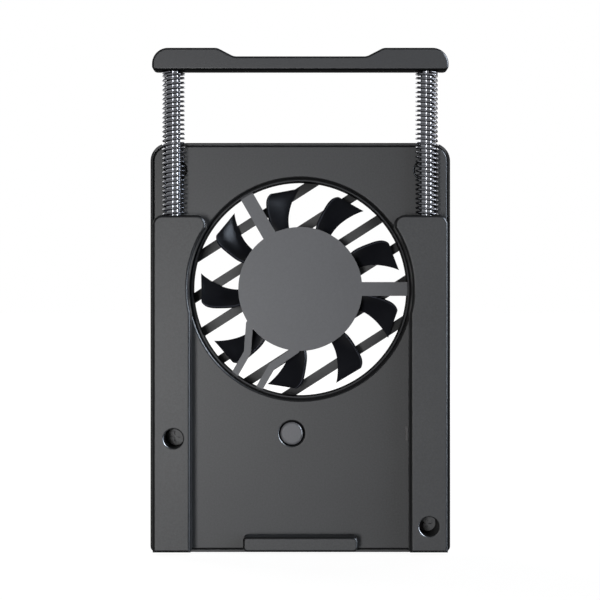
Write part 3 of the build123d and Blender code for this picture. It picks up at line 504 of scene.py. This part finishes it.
METAL_LOOKS = {
    "rod_steel": dict(
        colour=(0.16, 0.165, 0.18), roughness=0.12, brush=(0.04, 0.04, 1.0), grain=3000.0,
        depth=2e-7, drift=0.05,
    ),
    "spring_steel": dict(
        colour=(0.10, 0.102, 0.112), roughness=0.15, grain=2600.0, depth=6e-7, drift=0.18,
        dark=(0.045, 0.045, 0.055),
    ),
    "plain_steel": dict(
        colour=(0.45, 0.45, 0.46), roughness=0.28, brush=(1.0, 0.05, 1.0), depth=1e-6,
    ),
    "bush_bronze": dict(
        colour=(0.45, 0.33, 0.18), roughness=0.34, grain=1800.0, depth=3e-6, drift=0.15,
    ),
    "copper_wire": dict(
        colour=(0.60, 0.28, 0.12), roughness=0.25, brush=(1.0, 0.08, 1.0), grain=3600.0,
        depth=8e-6, drift=0.25,
    ),
    "cell_foil": dict(
        colour=(0.60, 0.60, 0.62), roughness=0.33, grain=260.0, depth=2.5e-5, drift=0.08,
    ),
    "contact_gold": dict(
        colour=(0.72, 0.50, 0.20), roughness=0.20, brush=(0.05, 1.0, 1.0), grain=4000.0,
        depth=4e-7, drift=0.06,
    ),
}
FROSTED_LOOKS = {
    "light_clear": dict(
        colour=(0.040, 0.037, 0.039), haze_colour=(0.075, 0.070, 0.072), depth=3e-6,
        specular=0.15, transmission=0.25, ior=1.49,
    ),
}

materials = {}
for make, looks in ((moulded, MOULDED_LOOKS), (metal, METAL_LOOKS), (frosted, FROSTED_LOOKS)):
    for name, look in looks.items():
        materials[name] = make(name, **look)

WEARERS = {
    "case_plastic": ("rear_cover", "tact_switch"),
    "cover_plastic": ("front_cover",),
    "fan_plastic": ("fan_frame",),
    "blade_plastic": ("impeller",),
    "bar_metal": ("clamp_bar",),
    "button_plastic": ("power_button",),
    "rod_steel": ("guide_rod_left", "guide_rod_right", "rotor_shaft"),
    "screw_steel": ("case_screws",),
    "plain_steel": ("usb_socket", "stator_core", "rotor_cup", "rod_collar_left", "rod_collar_right"),
    "bush_bronze": ("bearing_sleeve", "guide_bush_left", "guide_bush_right"),
    "magnet_ferrite": ("ring_magnet",),
    "copper_wire": ("stator_windings",),
    "board_green": ("main_board", "motor_board"),
    "chip_black": ("board_chips", "switch_plunger"),
    "connector_white": ("battery_connector", "status_led"),
    "light_clear": ("light_pipe",),
    "cell_foil": ("battery_cell",),
    "pad_foam": ("battery_pad",),
    "wire_red": ("battery_wire_positive",),
    "wire_black": ("fan_wire_positive", "fan_wire_negative", "battery_wire_negative"),
}
for material_name, node_names in WEARERS.items():
    for node_name in node_names:
        for slot in nodes[node_name].material_slots:
            slot.material = materials[material_name]


def link_mesh(name, vertices, faces, material, smooth=True):
    """A new mesh object in the scene, with one material."""
    mesh = bpy.data.meshes.new(name)
    mesh.from_pydata(vertices, [], faces)
    mesh.materials.append(material)
    mesh.update()
    mesh.polygons.foreach_set("use_smooth", [smooth] * len(mesh.polygons))
    piece = bpy.data.objects.new(name, mesh)
    bpy.context.scene.collection.objects.link(piece)
    return piece


# Springs: one wire each, closed at both ends

WIRE_RADIUS = 0.21 * MM
COIL_PITCH = 0.843 * MM
CLOSED_PITCH = 0.43 * MM
# How much larger the coils' radius is than that of the springs that they replace
COIL_SLACK = 0.13 * MM
# Turns that the two closed ends count for, that each end stays closed for, and that it opens over
END_TURNS = 2
CLOSED_TURNS = 0.75
OPENING_TURNS = 0.5
START_ANGLE = math.radians(200)
STEPS_PER_TURN = 40
WIRE_SIDES = 12
# Each ring of a wire's rounded end, in shares of its radius: how far out, how wide
END_CAP = ((0.35, 0.94), (0.75, 0.66), (0.95, 0.31))


def coil_points(centre, low_z, high_z, radius, hand):
    """A wire's centre line, from end to end. hand is 1, or -1 for a mirrored coil."""
    length = high_z - low_z - 2 * WIRE_RADIUS
    turns = (length - END_TURNS * CLOSED_PITCH) / COIL_PITCH + END_TURNS
    steps = round(turns * STEPS_PER_TURN)
    climbs = []
    for step in range(steps):
        turn = turns * (step + 0.5) / steps
        from_end = min(turn, turns - turn)
        open_share = min(max((from_end - CLOSED_TURNS) / OPENING_TURNS, 0.0), 1.0)
        climbs.append(CLOSED_PITCH + (COIL_PITCH - CLOSED_PITCH) * open_share)
    scale = length / sum(climbs)
    height = low_z + WIRE_RADIUS
    points = []
    for step, climb in enumerate([*climbs, 0.0]):
        angle = START_ANGLE + 2 * math.pi * turns * step / steps
        across = hand * radius * math.cos(angle)
        deep = radius * math.sin(angle)
        points.append(Vector((centre.x + across, centre.y + deep, height)))
        height += climb * scale
    return points


def wire_rings(points, radius):
    """Each ring round a wire: its middle, the way on, two directions across it, and its radius."""
    up = Vector((0, 0, 1))
    rings = []
    for place, point in enumerate(points):
        ahead = points[min(place + 1, len(points) - 1)] - points[max(place - 1, 0)]
        ahead.normalize()
        side = ahead.cross(up).normalized()
        lift = side.cross(ahead).normalized()
        rings.append((point, ahead, side, lift, radius))
    first, last = rings[0], rings[-1]
    for out, share in END_CAP:
        point, ahead, side, lift, _ = first
        rings.insert(0, (point - ahead * radius * out, ahead, side, lift, radius * share))
        point, ahead, side, lift, _ = last
        rings.append((point + ahead * radius * out, ahead, side, lift, radius * share))
    return rings


def wire_mesh(name, points, radius, material):
    """A round tube along the points, its ends closed with rounded caps."""
    rings = wire_rings(points, radius)
    vertices = []
    for point, _, side, lift, size in rings:
        for corner in range(WIRE_SIDES):
            turn = 2 * math.pi * corner / WIRE_SIDES
            spot = point + side * size * math.cos(turn) + lift * size * math.sin(turn)
            vertices.append(tuple(spot))
    faces = []
    for start in range(0, (len(rings) - 1) * WIRE_SIDES, WIRE_SIDES):
        for corner in range(WIRE_SIDES):
            here = start + corner
            beside = start + (corner + 1) % WIRE_SIDES
            faces.append((here, beside, beside + WIRE_SIDES, here + WIRE_SIDES))
    faces.append(tuple(reversed(range(WIRE_SIDES))))
    faces.append(tuple(range((len(rings) - 1) * WIRE_SIDES, len(rings) * WIRE_SIDES)))
    return link_mesh(name, vertices, faces, material)


for side, hand in (("left", 1), ("right", -1)):
    low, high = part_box(f"clamp_spring_{side}")
    centre = (low + high) / 2
    mean_radius = (high.x - low.x) / 2 - WIRE_RADIUS + COIL_SLACK
    line = coil_points(centre, low.z, high.z, mean_radius, hand)
    spring = wire_mesh(f"spring_coils_{side}", line, WIRE_RADIUS, materials["spring_steel"])
    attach(spring, "case")
    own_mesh(spring)
    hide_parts(f"clamp_spring_{side}")


# Contacts on both sides of the charging socket's tongue

TONGUE_HALF = 0.35 * MM
CONTACT_COUNT = 12
CONTACT_PITCH = 0.5 * MM
CONTACT_HALF_WIDTH = 0.13 * MM
CONTACT_START = 2.2 * MM
CONTACT_END = 5.9 * MM
CONTACT_SUNK = 0.01 * MM
CONTACT_RAISED = 0.03 * MM
CONTACT_EDGE = 0.012 * MM
# The corners of each side of a block
BLOCK_SIDES = ((0, 1, 3, 2), (4, 6, 7, 5), (0, 4, 5, 1), (2, 3, 7, 6), (0, 2, 6, 4), (1, 5, 7, 3))


def add_block(vertices, faces, low, high):
    """Adds a block between two corners to a mesh's vertices and faces."""
    start = len(vertices)
    for x in (low[0], high[0]):
        for y in (low[1], high[1]):
            for z in (low[2], high[2]):
                vertices.append((x, y, z))
    for corners in BLOCK_SIDES:
        faces.append(tuple(start + corner for corner in corners))


socket_low, socket_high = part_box("usb_socket")
socket_middle = (socket_low + socket_high) / 2
contact_vertices = []
contact_faces = []
for face in (-1, 1):
    for number in range(CONTACT_COUNT):
        height = socket_middle.z + (number - (CONTACT_COUNT - 1) / 2) * CONTACT_PITCH
        sunk = socket_middle.y + face * (TONGUE_HALF - CONTACT_SUNK)
        raised = socket_middle.y + face * (TONGUE_HALF + CONTACT_RAISED)
        add_block(contact_vertices, contact_faces,
                  (socket_low.x + CONTACT_START, min(sunk, raised), height - CONTACT_HALF_WIDTH),
                  (socket_low.x + CONTACT_END, max(sunk, raised), height + CONTACT_HALF_WIDTH))
contacts = link_mesh("socket_contacts", contact_vertices, contact_faces,
                     materials["contact_gold"], smooth=False)
bevel = contacts.modifiers.new("edges", "BEVEL")
bevel.width = CONTACT_EDGE
bevel.segments = 2
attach(contacts, "case")


# Room and floor

ROOM_STRENGTH = 0.10
FLOOR_HALF = 6.0
# Distances from the part over which the floor turns white, and its tone at the near one
FLOOR_FADE = (0.10, 0.45)
FLOOR_NEAR_TONE = 0.96
FLOOR_PAPER = (0.15, 0.15, 0.15, 1.0)


def background_rays(tree):
    """1 for the rays that show the background: camera, glossy and transmission rays."""
    path = tree.add("ShaderNodeLightPath").outputs
    seen = tree.maths("ADD", path["Is Camera Ray"], path["Is Glossy Ray"])
    return tree.maths("ADD", seen, path["Is Transmission Ray"], clamp=True)


def make_room():
    """A room that lights the part dimly, and is white where the background shows."""
    world = bpy.data.worlds.new("studio")
    bpy.context.scene.world = world
    world.use_nodes = True
    room = NodeTree(world.node_tree)
    background = room.tree.nodes["Background"]
    room.feed(background.inputs["Color"], WHITE)
    strength = room.ramp(background_rays(room), 0.0, 1.0, ROOM_STRENGTH, 1.0)
    room.feed(background.inputs["Strength"], strength)


def make_floor():
    """A wide sheet of pale paper that shows nearly white, takes shadows and casts none."""
    material = bpy.data.materials.new("floor_paper")
    material.use_nodes = True
    paper = NodeTree(material.node_tree)
    paper.tree.nodes.remove(paper.tree.nodes["Principled BSDF"])
    place = paper.add("ShaderNodeTexCoord").outputs["Object"]
    reach = paper.vector_maths("LENGTH", place)["Value"]
    tone = paper.ramp(reach, *FLOOR_FADE, FLOOR_NEAR_TONE, 1.0, smooth=True)
    shown = paper.maths("MULTIPLY", tone, background_rays(paper))
    glow = paper.add("ShaderNodeEmission", Color=WHITE, Strength=shown)
    matt = paper.add("ShaderNodeBsdfDiffuse", Color=FLOOR_PAPER)
    both = paper.add("ShaderNodeAddShader")
    paper.feed(both.inputs[0], glow.outputs[0])
    paper.feed(both.inputs[1], matt.outputs[0])
    paper.feed(paper.tree.nodes["Material Output"].inputs["Surface"], both.outputs[0])
    corners = [(-FLOOR_HALF, -FLOOR_HALF, 0), (FLOOR_HALF, -FLOOR_HALF, 0),
               (FLOOR_HALF, FLOOR_HALF, 0), (-FLOOR_HALF, FLOOR_HALF, 0)]
    floor = link_mesh("floor", corners, [(0, 1, 2, 3)], material, smooth=False)
    floor.visible_shadow = False


# Lamps, in degrees, metres and watts

MIDDLE = (cad_low + cad_high) / 2
DARK_PIECES = ("rear_cover", "front_cover", "fan_frame", "impeller", "clamp_bar", "power_button")
SATIN_PIECES = tuple(piece for piece in DARK_PIECES if piece != "impeller")
STEELS = ("spring_coils_left", "spring_coils_right", "guide_rod_left", "guide_rod_right")
LAMPS = {
    "key": dict(azimuth=-10.5, lift=-3, distance=0.75, size=(0.10, 0.16), power=4.05, off=STEELS),
    "fill": dict(azimuth=42, lift=8, distance=0.90, size=(0.50, 0.50), power=2.4,
                 colour=(0.86, 0.93, 1.0), off=STEELS),
    "strip_right": dict(azimuth=74, lift=16, distance=0.60, size=(0.20, 0.60), power=62.0,
                        colour=(0.75, 0.85, 1.0), gloss_on=DARK_PIECES),
    "strip_high": dict(azimuth=70, lift=31, distance=0.60, size=(0.20, 0.20), power=40.0,
                       colour=(0.80, 0.88, 1.0), gloss_on=SATIN_PIECES),
    "glint_left": dict(azimuth=-11, lift=4, distance=0.75, size=(0.08, 0.24), power=1.4,
                       gloss_on=STEELS),
    "glint_right": dict(azimuth=61, lift=4, distance=0.60, size=(0.07, 0.24), power=2.0,
                        colour=(0.90, 0.95, 1.0), gloss_on=STEELS),
    "glint_side": dict(azimuth=86, lift=4, distance=0.60, size=(0.20, 0.24), power=4.0,
                       colour=(0.90, 0.95, 1.0), gloss_on=("spring_coils_right",)),
    "back_left": dict(azimuth=-140, lift=20, distance=0.90, size=(0.50, 0.50), power=4.5),
    "back_right": dict(azimuth=150, lift=10, distance=0.90, size=(0.50, 0.50), power=3.0),
}


def limit_lamp(lamp, pieces, state):
    """Lets a lamp light these pieces alone, or all but these: state is INCLUDE or EXCLUDE."""
    receivers = bpy.data.collections.new(f"{lamp.name}_pieces")
    for piece in pieces:
        receivers.objects.link(bpy.data.objects[piece])
    for entry in receivers.collection_objects:
        entry.light_linking.link_state = state
    lamp.light_linking.receiver_collection = receivers


def area_light(name, azimuth, lift, distance, size, power, colour=(1.0, 1.0, 1.0),
               gloss_on=None, off=None):
    """A soft lamp, placed by its angles round the part's middle as the camera sees it.

    gloss_on names the pieces on which a lamp made only for highlights shows, off the pieces
    that a lamp leaves out."""
    turn = math.radians(azimuth)
    rise = math.radians(lift)
    away = Vector((math.sin(turn) * math.cos(rise), -math.cos(turn) * math.cos(rise), math.sin(rise)))
    data = bpy.data.lights.new(name, "AREA")
    data.shape = "RECTANGLE"
    data.size, data.size_y = size
    data.energy = power
    data.color = colour
    lamp = bpy.data.objects.new(name, data)
    bpy.context.scene.collection.objects.link(lamp)
    lamp.location = MIDDLE + away * distance
    lamp.rotation_euler = (MIDDLE - lamp.location).to_track_quat("-Z", "Y").to_euler()
    lamp.visible_camera = False
    if gloss_on:
        lamp.visible_diffuse = False
        limit_lamp(lamp, gloss_on, "INCLUDE")
    if off:
        limit_lamp(lamp, off, "EXCLUDE")


# Camera

SENSOR_WIDTH = 36.0
FOCAL_LENGTH = 112.95
CAMERA_ACROSS = -0.054 * MM
CAMERA_HEIGHT = 46.27 * MM
CAMERA_DISTANCE = 340.0 * MM
CLIP_START = 0.01
CLIP_END = 50.0


def make_camera():
    """A level camera, this far behind the rear cover and looking straight at it."""
    data = bpy.data.cameras.new("camera")
    data.sensor_width = SENSOR_WIDTH
    data.lens = FOCAL_LENGTH
    data.clip_start = CLIP_START
    data.clip_end = CLIP_END
    camera = bpy.data.objects.new("camera", data)
    bpy.context.scene.collection.objects.link(camera)
    camera.location = (CAMERA_ACROSS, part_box("rear_cover")[0].y - CAMERA_DISTANCE, CAMERA_HEIGHT)
    camera.rotation_euler = (math.radians(90), 0.0, 0.0)
    bpy.context.scene.camera = camera


make_room()
make_floor()
for name, settings in LAMPS.items():
    area_light(name, **settings)
make_camera()
bpy.context.scene.view_settings.view_transform = "Standard"
